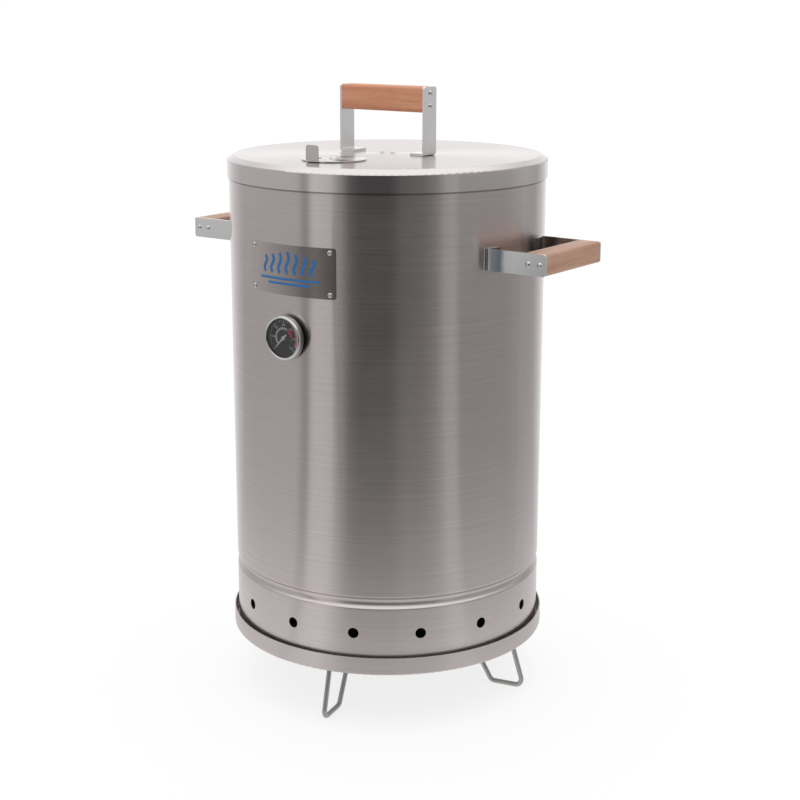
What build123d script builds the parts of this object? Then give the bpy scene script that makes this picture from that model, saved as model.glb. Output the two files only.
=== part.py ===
from build123d import *

import os
from math import asin, atan, cos, degrees, sin, sqrt

# Drum smoker: a round stainless barrel that stands in a base pan on four wire legs, under a
# lift-off lid. Millimetres. Z is up, the origin is on the floor on the barrel's axis, and the
# front, with the nameplate and the thermometer, faces -Y.

# Fits and gaps
seat_gap = 0.2            # between pieces that rest on each other and lift apart
running_gap = 0.08        # radial play of a shaft in its hole
sheet = 1.2               # stainless sheet of the barrel, lid and pan

# Base pan and its wire legs
leg_height = 70.0         # floor to the pan's underside
leg_wire = 6.0
leg_count = 4
leg_turn = 12.0           # the first leg's angle from the front, towards +X
leg_bend = 8.0            # centre-line radius of the bends
leg_tail = 22.0           # welded ends along the pan's underside
leg_outer_inset = 28.0    # from the pan's edge to the top of the outer upright
leg_splay = 19.0          # how far the outer upright leans out
leg_foot_length = 43.0    # bar that stands on the floor
leg_inner_lean = 36.0     # how far the inner upright leans towards the axis
pan_gap = 4.3             # between the barrel and the pan's wall
pan_depth = 22.0
pan_corner = 3.0

# Barrel
barrel_radius = 192.5
barrel_height = 591.0
bead_height = 88.0        # from the barrel's lower edge to the groove's middle
bead_width = 14.0
bead_depth = 4.0
bead_edge = 2.5           # rounding where the groove meets the wall
air_hole_count = 15
air_hole_radius = 6.5
air_hole_height = 49.5    # from the barrel's lower edge
lap_width = 10.0          # overlap of the rolled sheet, at the back

# Lid
lid_gap = 0.8             # between the barrel and the lid's rim
lid_rim_depth = 21.0
lid_crown = 5.0           # rise of the flat top above the rim's corner
lid_shoulder = 8.5        # width of the sloping shoulder
lid_corner = 2.4

# Rotary damper on the lid
damper_offset = 105.0     # from the lid's centre towards the front
damper_radius = 38.0
damper_sheet = 1.5
damper_hole_radius = 8.0
damper_hole_circle = 22.0
damper_hole_count = 3
damper_tab_width = 18.0
damper_tab_height = 20.0
damper_tab_bend = 2.5
damper_tab_root = 4.0     # how far the tab's sheet runs in over the disc
damper_rivet_radius = 3.0
damper_rivet_head = 2.4   # height of its round head
damper_rivet_flange = 2.0
damper_rivet_tail = 1.5

# Handles: two steel straps with a wooden grip between them
strap_width = 25.0
strap_thickness = 3.0
strap_bend = 4.0
strap_foot = 18.0         # length of the foot that is bent inward
strap_corner = 3.0
grip_length = 120.0
grip_depth = 30.0
grip_round = 4.0
handle_reach = 70.0       # from the barrel's side to the handle's outer edge
lid_handle_rise = 81.0    # from the lid's flat top to the handle's upper edge
side_handle_drop = 99.5   # from the barrel's top edge to the side handles' middle
screw_spacing = 15.0
screw_radius = 2.0
screw_length = 22.0
screw_head_radius = 3.4
screw_head_height = 2.2
screw_pilot = 0.25        # how far the screw's thread bites into the wood
screw_play = 0.2

# Nameplate
plate_width = 126.0
plate_height = 58.0
plate_thickness = 0.8
plate_drop = 112.5        # from the barrel's top edge to the plate's middle
plate_corner = 3.0
plate_rivet_inset_x = 6.0
plate_rivet_inset_z = 5.0
rivet_radius = 1.6
rivet_head_radius = 3.2
rivet_head_height = 1.6
rivet_tail_radius = 2.6
rivet_tail_height = 0.9
dome_waist = 0.66         # shape of every round head: at this share of its radius
dome_waist_height = 0.72  # it still has this share of its height

# Dial thermometer
thermo_drop = 189.5       # from the barrel's top edge to the dial's centre
bezel_radius = 26.0
bezel_lip = 3.0
bezel_depth = 7.0
bezel_front = 1.0
bezel_edge = 0.9          # rounding of its front edge
bezel_fold = 1.2          # how far it stands out round the housing
housing_wall = 1.0
housing_back_gap = 1.5    # the collar that holds the housing off the barrel
housing_depth = 10.4
housing_edge = 1.5        # rounding of its back edge
dial_depth = 6.0          # from the housing's back to the dial
dial_thickness = 0.7
glass_thickness = 1.4
needle_length = 17.0
needle_tail = 6.0
needle_width = 1.6
needle_thickness = 0.5
needle_hub_radius = 2.4
needle_gap = 0.3          # between the dial and the needle
needle_rest = 225.0       # where it points when cold: down and to the left
spindle_end = 0.6         # how far the spindle passes the dial's back
spindle_radius = 0.9
neck_radius = 6.0
neck_length = 12.0
collar_radius = 8.5
stem_radius = 3.0
stem_length = 60.0
stem_tip = 2.4            # rounding of the probe's end
nut_radius = 10.4
nut_thickness = 5.0

# Cooking grate and its brackets
grate_drop = 262.0        # from the barrel's top edge to the grate's rim
grate_gap = 14.0          # between the grate's rim and the barrel
grate_rim_wire = 6.0
grate_bar_wire = 4.0
grate_bar_pitch = 16.0
grate_handle_width = 70.0
grate_handle_height = 30.0
grate_handle_bend = 8.0
weld_bite = 0.6           # how far welded wires sink into each other
bracket_sheet = 2.0
bracket_width = 24.0
bracket_drop = 22.0
bracket_count = 4

# Hanging rods, their brackets and the meat hooks
rod_drop = 37.5           # from the barrel's top edge to the rods' axes
rod_offset = 60.0         # each rod's distance from the middle
rod_radius = 4.0
rod_end_gap = 4.0
rod_chamfer = 0.8
rod_slot_gap = 0.3
rod_plate_inset = 6.0     # from the rod's end to the notched plate
rod_plate_below = 18.0
rod_plate_above = 6.0
hook_wire = 4.0
hook_shank = 80.0
hook_bend = 13.0
hook_eye_turn = 210.0     # how far the wire goes round the rod, and round the bend
hook_bend_turn = 200.0
hook_places = (-70.0, 30.0)   # along the front rod; the rear rod mirrors them

# Charcoal basket and its bail
basket_radius = 130.0
basket_height = 120.0
basket_sheet = 1.5
basket_grate_height = 30.0
basket_bar_wire = 6.0
basket_bar_pitch = 24.0
basket_hole_radius = 7.0
basket_hole_count = 16
basket_hole_rows = (60.0, 88.0)
basket_slot_height = 9.8  # from the wall's lower edge to the middle of the lower slots
bail_wire = 5.0
bail_clear = 7.0
bail_pivot_drop = 12.0
bail_corner = 40.0
bail_eye_bend = 6.0
bail_side = 0.55          # share of each side that runs straight before the corners
bail_droop = 14.0         # how far the folded bail hangs below level

# Hook under the lid, which hangs it on the barrel's edge
lid_hook_width = 16.0
lid_hook_sheet = 2.0
lid_hook_foot = 36.0
lid_hook_drop = 28.0
lid_hook_mouth = 12.0
lid_hook_bend = 4.0
lid_rivet_spacing = 16.0

# Heights that follow from the sizes above
barrel_bottom = leg_height + sheet + seat_gap
barrel_top = barrel_bottom + barrel_height
barrel_inside = barrel_radius - sheet
pan_radius = barrel_radius + pan_gap + sheet
lid_radius = barrel_radius + lid_gap + sheet
lid_slope = atan(lid_crown / lid_shoulder)
lid_corner_z = (
    barrel_top + seat_gap + sheet / cos(lid_slope)
    - (lid_radius - barrel_radius) * lid_crown / lid_shoulder
)
lid_top = lid_corner_z + lid_crown
thermo_z = barrel_top - thermo_drop
grate_z = barrel_top - grate_drop
rod_z = barrel_top - rod_drop
side_handle_z = barrel_top - side_handle_drop
basket_bottom = leg_height + sheet + seat_gap
housing_radius = bezel_radius - bezel_fold
dial_front = housing_back_gap + dial_depth + dial_thickness
glass_back = housing_back_gap + housing_depth - glass_thickness
grate_radius = barrel_inside - grate_gap     # outer edge of the cooking grate's rim
rod_half = sqrt(barrel_inside ** 2 - (rod_offset + rod_radius) ** 2) - rod_end_gap


def save(name, *solids):
    """Write one piece, or a group of identical pieces, as the node of that name."""
    shape = solids[0] if len(solids) == 1 else Compound(children=list(solids))
    export_step(shape, f"parts/{name}.step")


def spun(*edges):
    """Revolve the outline that the edges close, drawn as (radius, height), about Z."""
    return revolve(Plane.XZ * make_face(edges), axis=Axis.Z)


def swept(path, section, across=None):
    """Sweep a section, its own X along across, down a path from its start."""
    start = Plane(origin=path @ 0, x_dir=across, z_dir=path % 0)
    return sweep(start * section, path=path)


def turned(angle):
    """Turn about the barrel's axis; 0 is the front and 90 is +X."""
    return Rot(0, 0, angle)


def dome_head(head_radius, head_height, shank_radius, shank_length, tail_radius=0, tail_height=0):
    """A round-head fastener on +Z: its head stands on z = 0 and its shank goes down."""
    crown = ThreePointArc(
        (0, head_height),
        (head_radius * dome_waist, head_height * dome_waist_height),
        (head_radius, 0),
    )
    profile = [(head_radius, 0), (shank_radius, 0), (shank_radius, -shank_length)]
    if tail_radius:
        profile += [(tail_radius, -shank_length), (tail_radius, -shank_length - tail_height)]
    profile += [(0, profile[-1][1]), (0, head_height)]
    return spun(crown, Polyline(*profile))


# ---------------------------------------------------------------- base

def base_pan():
    """Shallow dish that catches the ash, with a rim that stands round the barrel."""
    outer = Pos(0, 0, leg_height) * Cylinder(
        pan_radius, pan_depth, align=(Align.CENTER, Align.CENTER, Align.MIN)
    )
    outer = fillet(outer.edges().group_by(Axis.Z)[0], pan_corner)
    inner = Pos(0, 0, leg_height + sheet) * Cylinder(
        pan_radius - sheet, pan_depth, align=(Align.CENTER, Align.CENTER, Align.MIN)
    )
    inner = fillet(inner.edges().group_by(Axis.Z)[0], pan_corner - sheet)
    return outer - inner


def wire_leg(angle):
    """One leg: a wire bent to a foot bar with two uprights and two welded ends."""
    top = leg_height - leg_wire / 2
    foot = leg_wire / 2
    outer_top = pan_radius - leg_outer_inset
    outer_foot = outer_top + leg_splay
    inner_foot = outer_foot - leg_foot_length
    inner_top = inner_foot - leg_inner_lean
    points = [
        (outer_top - leg_tail, 0, top),
        (outer_top, 0, top),
        (outer_foot, 0, foot),
        (inner_foot, 0, foot),
        (inner_top, 0, top),
        (inner_top - leg_tail, 0, top),
    ]
    leg = swept(FilletPolyline(*points, radius=leg_bend), Circle(leg_wire / 2))
    return turned(angle - 90) * leg


# ---------------------------------------------------------------- barrel

def barrel():
    """Rolled sheet, open at both ends, with a stiffening groove and a ring of air holes."""
    middle = barrel_bottom + bead_height
    arc_radius = (bead_width ** 2 / 4 + bead_depth ** 2) / (2 * bead_depth)
    inner_radius = arc_radius + sheet
    inner_half = sqrt(inner_radius ** 2 - (arc_radius - bead_depth + sheet) ** 2)
    outer = [
        Line((barrel_radius, barrel_bottom), (barrel_radius, middle - bead_width / 2)),
        ThreePointArc(
            (barrel_radius, middle - bead_width / 2),
            (barrel_radius - bead_depth, middle),
            (barrel_radius, middle + bead_width / 2),
        ),
        Line((barrel_radius, middle + bead_width / 2), (barrel_radius, barrel_top)),
    ]
    inner = [
        Line((barrel_inside, barrel_top), (barrel_inside, middle + inner_half)),
        ThreePointArc(
            (barrel_inside, middle + inner_half),
            (barrel_inside - bead_depth, middle),
            (barrel_inside, middle - inner_half),
        ),
        Line((barrel_inside, middle - inner_half), (barrel_inside, barrel_bottom)),
    ]
    ends = [
        Line((barrel_radius, barrel_top), (barrel_inside, barrel_top)),
        Line((barrel_inside, barrel_bottom), (barrel_radius, barrel_bottom)),
    ]
    section = make_face([*outer, ends[0], *inner, ends[1]])
    groove = [v for v in section.vertices() if abs(v.Y - middle) < bead_width]
    rims = [v for v in groove if abs(v.X - barrel_radius) < sheet / 2]
    section = fillet(rims, bead_edge)
    shell = revolve(Plane.XZ * section, axis=Axis.Z)

    for i in range(air_hole_count):
        hole = Rot(90, 0, 0) * Cylinder(air_hole_radius, 4 * bead_depth)
        place = Pos(0, -barrel_radius, barrel_bottom + air_hole_height)
        shell -= turned(i * 360 / air_hole_count) * place * hole
    shell -= Pos(0, -barrel_radius, thermo_z) * Rot(90, 0, 0) * Cylinder(
        neck_radius + running_gap, 4 * bead_depth
    )
    for place in plate_rivet_places():
        shell -= place * Cylinder(rivet_radius, 4 * bead_depth)

    lap = Pos(0, barrel_radius, 0) * Box(
        lap_width, 8 * sheet, barrel_height, align=(Align.CENTER, Align.CENTER, Align.MIN)
    )
    lap = Pos(0, 0, barrel_bottom) * lap
    ring = Pos(0, 0, middle + bead_width) * Cylinder(
        barrel_inside + sheet / 2, barrel_top - middle - 3 * bead_width,
        align=(Align.CENTER, Align.CENTER, Align.MIN),
    ) - Pos(0, 0, barrel_bottom) * Cylinder(
        barrel_inside - sheet, barrel_height, align=(Align.CENTER, Align.CENTER, Align.MIN)
    )
    return shell + (lap & ring)


# ---------------------------------------------------------------- nameplate

def plate_rivet_places():
    """Where the nameplate's rivets sit, each pointing out of the barrel."""
    z_middle = barrel_top - plate_drop
    half_angle = degrees((plate_width / 2 - plate_rivet_inset_x) / barrel_radius)
    places = []
    for side in (-1, 1):
        for level in (-1, 1):
            z = z_middle + level * (plate_height / 2 - plate_rivet_inset_z)
            out = Pos(0, -barrel_radius - plate_thickness, z) * Rot(90, 0, 0)
            places.append(turned(side * half_angle) * out)
    return places


def nameplate():
    """Thin plate rolled to the barrel's curve, with rounded corners."""
    z_middle = barrel_top - plate_drop
    half_angle = plate_width / 2 / barrel_radius
    flat_width = 2 * (barrel_radius + plate_thickness) * sin(half_angle)
    outline = fillet(Rectangle(flat_width, plate_height).vertices(), plate_corner)
    front = Plane(origin=(0, 0, z_middle), x_dir=(1, 0, 0), z_dir=(0, -1, 0)) * outline
    block = extrude(front, barrel_radius + 4 * plate_thickness)
    shell = Pos(0, 0, z_middle) * (
        Cylinder(barrel_radius + plate_thickness, plate_height)
        - Cylinder(barrel_radius, plate_height)
    )
    plate = block & shell
    for place in plate_rivet_places():
        plate -= place * Cylinder(rivet_radius, 8 * plate_thickness)
    return plate


def nameplate_rivets():
    """Four round-head rivets through the plate and the barrel."""
    rivet = dome_head(
        rivet_head_radius, rivet_head_height, rivet_radius, plate_thickness + sheet,
        rivet_tail_radius, rivet_tail_height,
    )
    return [place * rivet for place in plate_rivet_places()]


# ---------------------------------------------------------------- thermometer

def on_dial(shape, depth=0.0):
    """Put a shape drawn on +Z on the dial's axis, depth out from the barrel's front."""
    return Pos(0, -barrel_radius - depth, thermo_z) * Rot(90, 0, 0) * shape


def thermometer_housing():
    """Black cup behind the dial, held off the barrel by its neck's collar."""
    base = (Align.CENTER, Align.CENTER, Align.MIN)
    cup = Cylinder(housing_radius, housing_depth, align=base)
    cup = fillet(cup.edges().group_by(Axis.Z)[0], housing_edge)
    cup -= Pos(0, 0, housing_wall) * Cylinder(
        housing_radius - housing_wall, housing_depth, align=base
    )
    cup -= Cylinder(neck_radius, 3 * housing_wall)
    return on_dial(cup, housing_back_gap)


def thermometer_bezel():
    """Chrome ring that clamps the glass on the cup."""
    base = (Align.CENTER, Align.CENTER, Align.MIN)
    ring = Cylinder(bezel_radius, bezel_depth + bezel_front, align=base)
    ring = fillet(ring.edges().group_by(Axis.Z)[-1], bezel_edge)
    ring -= Cylinder(housing_radius, bezel_depth, align=base)
    ring -= Cylinder(bezel_radius - bezel_lip, 3 * bezel_depth, align=base)
    return on_dial(ring, housing_back_gap + housing_depth - bezel_depth)


def thermometer_dial():
    """Flat dial inside the cup, with a hole for the needle's spindle."""
    dial = Cylinder(
        housing_radius - housing_wall - running_gap, dial_thickness,
        align=(Align.CENTER, Align.CENTER, Align.MIN),
    )
    dial -= Cylinder(spindle_radius + running_gap, 4 * dial_thickness)
    return on_dial(dial, housing_back_gap + dial_depth)


def thermometer_glass():
    """Flat window under the bezel's lip."""
    pane = Cylinder(
        housing_radius - housing_wall - running_gap, glass_thickness,
        align=(Align.CENTER, Align.CENTER, Align.MIN),
    )
    return on_dial(pane, glass_back)


def thermometer_needle():
    """Pointer on its spindle, at the cold end of the scale, down and to the left."""
    blade = make_face(Polyline(
        (-needle_tail, -needle_width / 2), (-needle_tail, needle_width / 2),
        (0, needle_width), (needle_length, 0), (0, -needle_width),
        (-needle_tail, -needle_width / 2),
    ))
    needle = extrude(blade, needle_thickness)
    needle += Cylinder(
        needle_hub_radius, 2 * needle_thickness, align=(Align.CENTER, Align.CENTER, Align.MIN)
    )
    spindle = dial_thickness + spindle_end
    needle += Pos(0, 0, -spindle) * Cylinder(
        spindle_radius, spindle + needle_thickness,
        align=(Align.CENTER, Align.CENTER, Align.MIN),
    )
    return on_dial(Rot(0, 0, needle_rest) * needle, dial_front + needle_gap)


def thermometer_stem():
    """Threaded neck with its collar, and the probe that reaches into the smoke."""
    collar = Cylinder(
        collar_radius, housing_back_gap, align=(Align.CENTER, Align.CENTER, Align.MIN)
    )
    neck = Pos(0, 0, housing_back_gap + housing_wall) * Cylinder(
        neck_radius, neck_length + housing_back_gap + housing_wall,
        align=(Align.CENTER, Align.CENTER, Align.MAX),
    )
    probe = Pos(0, 0, -neck_length) * Cylinder(
        stem_radius, stem_length, align=(Align.CENTER, Align.CENTER, Align.MAX)
    )
    probe = fillet(probe.edges().group_by(Axis.Z)[0], stem_tip)
    return on_dial(collar + neck + probe)


def thermometer_nut():
    """Hexagon nut that holds the thermometer from inside the barrel."""
    nut = extrude(RegularPolygon(nut_radius, 6), -nut_thickness)
    nut -= Cylinder(neck_radius + running_gap, 4 * nut_thickness)
    seat = barrel_radius - sqrt(barrel_inside ** 2 - nut_radius ** 2)
    return on_dial(nut, -seat)


# ---------------------------------------------------------------- handles

def screw_offsets():
    """Where a strap's two screws sit, along the grip's depth from its middle."""
    return (-screw_spacing / 2, screw_spacing / 2)


def grip():
    """Wooden bar along X, its long edges rounded, with pilot holes in both ends."""
    bar = Box(grip_length, strap_width, grip_depth)
    bar = fillet(bar.edges().filter_by(Axis.X), grip_round)
    for end in (-1, 1):
        for offset in screw_offsets():
            bar -= Pos(end * grip_length / 2, 0, offset) * Rot(0, 90, 0) * Cylinder(
                screw_radius - screw_pilot, 2 * screw_length
            )
    return bar


def grip_screws():
    """Two round-head screws into each end of the grip, through the straps."""
    screw = dome_head(screw_head_radius, screw_head_height, screw_radius, screw_length)
    face = grip_length / 2 + strap_thickness
    return [
        Pos(end * face, 0, offset) * Rot(0, end * 90, 0) * screw
        for end in (-1, 1) for offset in screw_offsets()
    ]


def finish_strap(strap, grip_middle):
    """Round the strap's free corners and drill its screw holes; the strap stands at +X."""
    tips = strap.edges().filter_by(Axis.X).group_by(Axis.Z)[-1]
    strap = fillet(tips, strap_corner)
    for offset in screw_offsets():
        strap -= Pos(grip_length / 2, 0, grip_middle + offset) * Rot(0, 90, 0) * Cylinder(
            screw_radius + screw_play, 4 * strap_thickness
        )
    return strap


def lid_strap(side):
    """One strap of the lid's handle: a foot bent inward and an upright."""
    inner = grip_length / 2
    outer = inner + strap_thickness
    outline = make_face(Polyline(
        (inner - strap_foot, 0), (outer, 0), (outer, lid_handle_rise), (inner, lid_handle_rise),
        (inner, strap_thickness), (inner - strap_foot, strap_thickness),
        (inner - strap_foot, 0),
    ))
    bend = [v for v in outline.vertices() if v.X > inner + 1 and v.Y < 1]
    outline = fillet(bend, strap_bend)
    inside = [
        v for v in outline.vertices()
        if abs(v.X - inner) < 0.1 and abs(v.Y - strap_thickness) < 0.1
    ]
    outline = fillet(inside, strap_bend - strap_thickness)
    strap = extrude(Plane.XZ * outline, strap_width / 2, both=True)
    strap = finish_strap(strap, lid_handle_rise - grip_depth / 2)
    strap = Pos(0, 0, lid_top) * strap
    return strap if side > 0 else mirror(strap, Plane.YZ)


def lid_handle_place():
    return Pos(0, 0, lid_top + lid_handle_rise - grip_depth / 2)


def side_strap(end):
    """One strap of a side handle, drawn as if the barrel's side were below it.

    The grip lies along X, the barrel's axis along Y, and Z points out of the barrel's side.
    """
    inner = grip_length / 2
    outer = inner + strap_thickness
    reach = barrel_radius + handle_reach
    foot_start = asin((inner - strap_foot) / barrel_radius)
    far = barrel_radius + 4 * strap_thickness
    wedge = make_face(Polyline(
        (0, 0), (far * sin(foot_start), far * cos(foot_start)), (outer, far), (outer, 0), (0, 0),
    ))
    foot = (Circle(barrel_radius + strap_thickness) & wedge)
    upright = Pos((inner + outer) / 2, reach / 2) * Rectangle(strap_thickness, reach)
    outline = foot + upright - Circle(barrel_radius)
    corner = [v for v in outline.vertices() if v.X > outer - 0.1 and v.Y < barrel_radius]
    outline = fillet(corner, strap_bend)
    strap = extrude(Plane.XZ * outline, strap_width / 2, both=True)
    strap = finish_strap(strap, reach - grip_depth / 2)
    return strap if end > 0 else mirror(strap, Plane.YZ)


def side_handle_place(side):
    """Turn a handle drawn on +Z out to the barrel's +X or -X side."""
    return Pos(0, 0, side_handle_z) * Rot(0, 0, 90) * Rot(side * 90, 0, 0)


def side_grip_place(side):
    return side_handle_place(side) * Pos(0, 0, barrel_radius + handle_reach - grip_depth / 2)


# ---------------------------------------------------------------- lid

def lid():
    """Flat-topped cap with a sloping shoulder and a rim that hangs over the barrel."""
    flat = lid_radius - lid_shoulder
    rim = lid_corner_z - lid_rim_depth
    slope_shift = sheet / cos(lid_slope)
    # the inside runs parallel to the outside, one sheet in
    inner_flat = flat - (slope_shift - sheet) * lid_shoulder / lid_crown
    inner_corner = lid_corner_z - slope_shift + sheet * lid_crown / lid_shoulder
    section = make_face(Polyline(
        (0, lid_top), (flat, lid_top), (lid_radius, lid_corner_z), (lid_radius, rim),
        (lid_radius - sheet, rim), (lid_radius - sheet, inner_corner),
        (inner_flat, lid_top - sheet), (0, lid_top - sheet), (0, lid_top),
    ))
    outer_bends = [
        v for v in section.vertices()
        if (abs(v.X - flat) < 0.01 and v.Y > lid_top - 0.01)
        or (v.X > lid_radius - 0.01 and v.Y > rim + 1)
    ]
    section = fillet(outer_bends, lid_corner)
    inner_bends = [
        v for v in section.vertices()
        if (abs(v.X - inner_flat) < 0.01 and abs(v.Y - lid_top + sheet) < 0.01)
        or (abs(v.X - lid_radius + sheet) < 0.01 and abs(v.Y - inner_corner) < 0.01)
    ]
    section = fillet(inner_bends, lid_corner - sheet)
    cap = revolve(Plane.XZ * section, axis=Axis.Z)
    for i in range(damper_hole_count):
        hole = Pos(damper_hole_circle, 0, lid_top) * Cylinder(damper_hole_radius, 4 * sheet)
        cap -= Pos(0, -damper_offset, 0) * Rot(0, 0, 30 + i * 360 / damper_hole_count) * hole
    cap -= Pos(0, -damper_offset, lid_top) * Cylinder(damper_rivet_radius, 4 * sheet)
    for side in (-1, 1):
        cap -= Pos(side * lid_rivet_spacing / 2, 0, lid_top) * Cylinder(rivet_radius, 4 * sheet)
    return cap


def damper_disc():
    """Turning disc over the lid's vents, with a finger tab bent up from its front edge."""
    disc = Cylinder(
        damper_radius, damper_sheet, align=(Align.CENTER, Align.CENTER, Align.MIN)
    )
    disc -= Cylinder(damper_rivet_radius + running_gap, 4 * damper_sheet)
    for i in range(damper_hole_count):
        disc -= Rot(0, 0, 90 + i * 360 / damper_hole_count) * Pos(
            damper_hole_circle, 0, 0
        ) * Cylinder(damper_hole_radius, 4 * damper_sheet)
    run = damper_radius + damper_tab_bend
    path = FilletPolyline(
        (damper_radius - damper_tab_root, damper_sheet / 2), (run, damper_sheet / 2),
        (run, damper_tab_height), radius=damper_tab_bend,
    )
    tab = swept(Plane.XZ * path, Rectangle(damper_tab_width, damper_sheet), across=(0, 1, 0))
    tab = fillet(tab.edges().filter_by(Axis.X).group_by(Axis.Z)[-1], strap_corner)
    disc += Rot(0, 0, -90) * tab
    return Pos(0, -damper_offset, lid_top + seat_gap) * disc


def damper_rivet():
    """Rivet that the disc turns on, fixed in the lid."""
    grip_thickness = seat_gap + damper_sheet + seat_gap + sheet
    rivet = dome_head(
        2 * damper_rivet_radius, damper_rivet_head, damper_rivet_radius,
        grip_thickness, damper_rivet_radius + damper_rivet_flange, damper_rivet_tail,
    )
    return Pos(0, -damper_offset, lid_top + 2 * seat_gap + damper_sheet) * rivet


def lid_hook():
    """Bent strip under the lid, which hangs the lid on the barrel's edge."""
    foot = lid_hook_foot / 2
    points = [
        (-foot, 0, -lid_hook_sheet / 2), (foot, 0, -lid_hook_sheet / 2),
        (foot, 0, -lid_hook_drop), (foot + lid_hook_mouth, 0, -lid_hook_drop),
        (foot + lid_hook_mouth, 0, -lid_hook_drop / 2),
    ]
    path = FilletPolyline(*points, radius=lid_hook_bend)
    hook = swept(path, Rectangle(lid_hook_width, lid_hook_sheet), across=(0, 1, 0))
    for side in (-1, 1):
        hook -= Pos(side * lid_rivet_spacing / 2, 0, 0) * Cylinder(
            rivet_radius, 4 * lid_hook_sheet
        )
    return Pos(0, 0, lid_top - sheet) * hook


def lid_hook_rivets():
    rivet = dome_head(
        rivet_head_radius, rivet_head_height, rivet_radius, sheet + lid_hook_sheet,
        rivet_tail_radius, rivet_tail_height,
    )
    return [Pos(side * lid_rivet_spacing / 2, 0, lid_top) * rivet for side in (-1, 1)]


# ---------------------------------------------------------------- inside the barrel

def grate_brackets():
    """Angle brackets, spot-welded inside the barrel, that carry the cooking grate."""
    shelf_z = grate_z - grate_rim_wire / 2 - seat_gap
    inner = grate_radius - 2 * grate_rim_wire
    long = barrel_inside - inner
    outline = make_face(Polyline(
        (inner, shelf_z), (inner + long, shelf_z), (inner + long, shelf_z - bracket_drop),
        (inner + long - 2 * bracket_sheet, shelf_z - bracket_drop),
        (inner + long - 2 * bracket_sheet, shelf_z - bracket_sheet),
        (inner, shelf_z - bracket_sheet), (inner, shelf_z),
    ))
    angle = extrude(Plane.XZ * outline, bracket_width / 2, both=True)
    angle &= Pos(0, 0, shelf_z) * Cylinder(barrel_inside, 4 * bracket_drop)
    return [turned(45 + i * 360 / bracket_count) * angle for i in range(bracket_count)]


def grate_rim():
    """Round wire rim of the cooking grate."""
    return Pos(0, 0, grate_z) * Torus(grate_radius - grate_rim_wire / 2, grate_rim_wire / 2)


def grate_bars():
    """Parallel bars welded on the rim, and two stiffeners across them, as one weldment."""
    centre_radius = grate_radius - grate_rim_wire / 2
    bar_z = grate_z + grate_rim_wire / 2 + grate_bar_wire / 2 - weld_bite
    across = centre_radius / 3
    reach = sqrt(centre_radius ** 2 - across ** 2)
    # every bar crosses both stiffeners, so the last one stands inside their ends
    count = int((reach - grate_bar_wire) / grate_bar_pitch)
    bars = []
    for i in range(-count, count + 1):
        x = i * grate_bar_pitch
        half = sqrt(centre_radius ** 2 - x ** 2)
        bars.append(Pos(x, 0, bar_z) * Rot(90, 0, 0) * Cylinder(grate_bar_wire / 2, 2 * half))
    for y in (-across, across):
        stiffener = Cylinder(grate_bar_wire / 2, 2 * reach)
        z = bar_z - grate_bar_wire + weld_bite
        bars.append(Pos(0, y, z) * Rot(0, 90, 0) * stiffener)
    return bars[0].fuse(*bars[1:])


def grate_handles():
    """Two wire loops that stand on the rim, to lift the cooking grate by."""
    half = grate_handle_width / 2
    centre_radius = grate_radius - grate_rim_wire / 2
    x = sqrt(centre_radius ** 2 - half ** 2)
    foot = grate_z + grate_rim_wire / 2 - weld_bite
    path = FilletPolyline(
        (x, -half, foot), (x, -half, foot + grate_handle_height),
        (x, half, foot + grate_handle_height), (x, half, foot), radius=grate_handle_bend,
    )
    loop = swept(path, Circle(grate_bar_wire / 2))
    return [loop, mirror(loop, Plane.YZ)]


def hanging_rod(side):
    """Round bar across the barrel that the meat hooks hang on."""
    rod = Cylinder(rod_radius, 2 * rod_half)
    rod = chamfer(rod.edges(), rod_chamfer)
    return Pos(0, side * rod_offset, rod_z) * Rot(0, 90, 0) * rod


def rod_brackets():
    """Notched plates, spot-welded inside the barrel, that the rods drop into."""
    plate_x = rod_half - rod_plate_inset
    low = rod_z - rod_plate_below
    notch_plate = Pos(plate_x, rod_offset, low) * Box(
        bracket_sheet, bracket_width, rod_plate_below + rod_plate_above,
        align=(Align.MIN, Align.CENTER, Align.MIN),
    )
    notch = rod_radius + rod_slot_gap
    notch_plate -= Pos(plate_x, rod_offset, rod_z) * (
        Rot(0, 90, 0) * Cylinder(notch, 4 * bracket_sheet)
        + Box(
            8 * bracket_sheet, 2 * notch, rod_plate_below,
            align=(Align.CENTER, Align.CENTER, Align.MIN),
        )
    )
    shelf = Pos(plate_x, rod_offset, low) * Box(
        barrel_inside, bracket_width, bracket_sheet, align=(Align.MIN, Align.CENTER, Align.MIN)
    )
    tab = Pos(plate_x, rod_offset, low - bracket_drop) * Box(
        barrel_inside, bracket_width, bracket_drop + bracket_sheet,
        align=(Align.MIN, Align.CENTER, Align.MIN),
    )
    tab -= Pos(0, 0, low) * Cylinder(barrel_inside - bracket_sheet, 4 * bracket_drop)
    bracket = (notch_plate + shelf + tab) & Pos(0, 0, low) * Cylinder(
        barrel_inside, 8 * bracket_drop
    )
    pair = [bracket, mirror(bracket, Plane.YZ)]
    return pair + [mirror(each, Plane.XZ) for each in pair]


def meat_hook(x, side):
    """S-hook of round wire: a small eye over the rod and a large bend below."""
    eye = rod_radius + rod_slot_gap + hook_wire / 2
    over = CenterArc((0, 0), eye, 180 - hook_eye_turn, hook_eye_turn)
    shank = Line((-eye, 0), (-eye, -hook_shank))
    below = CenterArc((hook_bend - eye, -hook_shank), hook_bend, 180, hook_bend_turn)
    wire = Plane.YZ * Wire([over, shank, below])
    hook = swept(wire, Circle(hook_wire / 2))
    if side > 0:
        hook = mirror(hook, Plane.XZ)
    return Pos(x, side * rod_offset, rod_z) * hook


# ---------------------------------------------------------------- charcoal basket

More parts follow.
